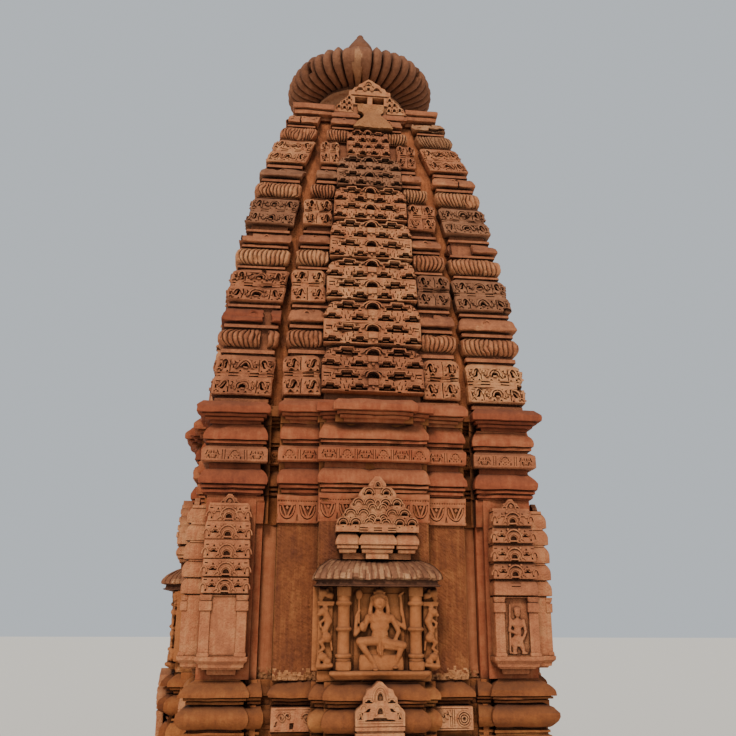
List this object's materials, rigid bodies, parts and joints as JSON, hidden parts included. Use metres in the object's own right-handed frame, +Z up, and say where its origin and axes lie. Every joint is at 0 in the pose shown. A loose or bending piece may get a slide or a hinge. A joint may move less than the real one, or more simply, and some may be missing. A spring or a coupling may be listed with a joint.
{
  "type": "small Nagara temple tower of red sandstone",
  "caption": "Small Hindu stone shrine: moulded base, hollow cell with doorway and three niches, cornices, curved carved tower and ribbed crown.",
  "frame": {"origin": "on the ground, under the middle of the plan", "axes": "+Z up, -Y towards the niche side seen in the picture, +X to the right of it, +Y towards the doorway"},
  "size_m": [3.284, 3.284, 7.72],
  "materials": {
    "carved_sandstone": "weathered carved red sandstone",
    "dressed_sandstone": "dressed pale orange sandstone",
    "weathered_sandstone": "dark weathered sandstone with purple-brown crust"
  },
  "bodies": {
    "root": {"back_dormer": "dressed_sandstone", "back_tower_face": "carved_sandstone", "back_wall_left": "weathered_sandstone", "back_wall_right": "weathered_sandstone", "carved_band": "carved_sandstone", "corner_stack_back_left": "carved_sandstone", "corner_stack_back_right": "carved_sandstone", "corner_stack_front_left": "carved_sandstone", "corner_stack_front_right": "carved_sandstone", "door_jamb_left": "dressed_sandstone", "door_jamb_right": "dressed_sandstone", "door_lintel": "dressed_sandstone", "door_sill": "dressed_sandstone", "eave_slab": "carved_sandstone", "finial": "weathered_sandstone", "foot_course": "carved_sandstone", "front_awning": "dressed_sandstone", "front_base_niche": "carved_sandstone", "front_dormer": "dressed_sandstone", "front_niche_figure": "carved_sandstone", "front_niche_frame": "carved_sandstone", "front_pediment": "carved_sandstone", "front_tower_face": "carved_sandstone", "front_wall": "weathered_sandstone", "garland_frieze": "carved_sandstone", "left_awning": "dressed_sandstone", "left_base_niche": "carved_sandstone", "left_dormer": "dressed_sandstone", "left_niche_figure": "carved_sandstone", "left_niche_frame": "carved_sandstone", "left_pediment": "carved_sandstone", "left_tower_face": "carved_sandstone", "left_wall": "weathered_sandstone", "lower_cornice": "carved_sandstone", "neck": "dressed_sandstone", "pier_back_left": "dressed_sandstone", "pier_back_right": "dressed_sandstone", "pier_front_left": "dressed_sandstone", "pier_front_right": "dressed_sandstone", "pot_course": "carved_sandstone", "ribbed_crown": "weathered_sandstone", "right_awning": "dressed_sandstone", "right_base_niche": "carved_sandstone", "right_dormer": "dressed_sandstone", "right_niche_figure": "carved_sandstone", "right_niche_frame": "carved_sandstone", "right_pediment": "carved_sandstone", "right_tower_face": "carved_sandstone", "right_wall": "weathered_sandstone", "roll_course": "carved_sandstone", "shoulder_slab": "dressed_sandstone", "tower_core": "weathered_sandstone", "upper_base_course": "carved_sandstone", "upper_cornice": "carved_sandstone"}
  },
  "joints": []
}
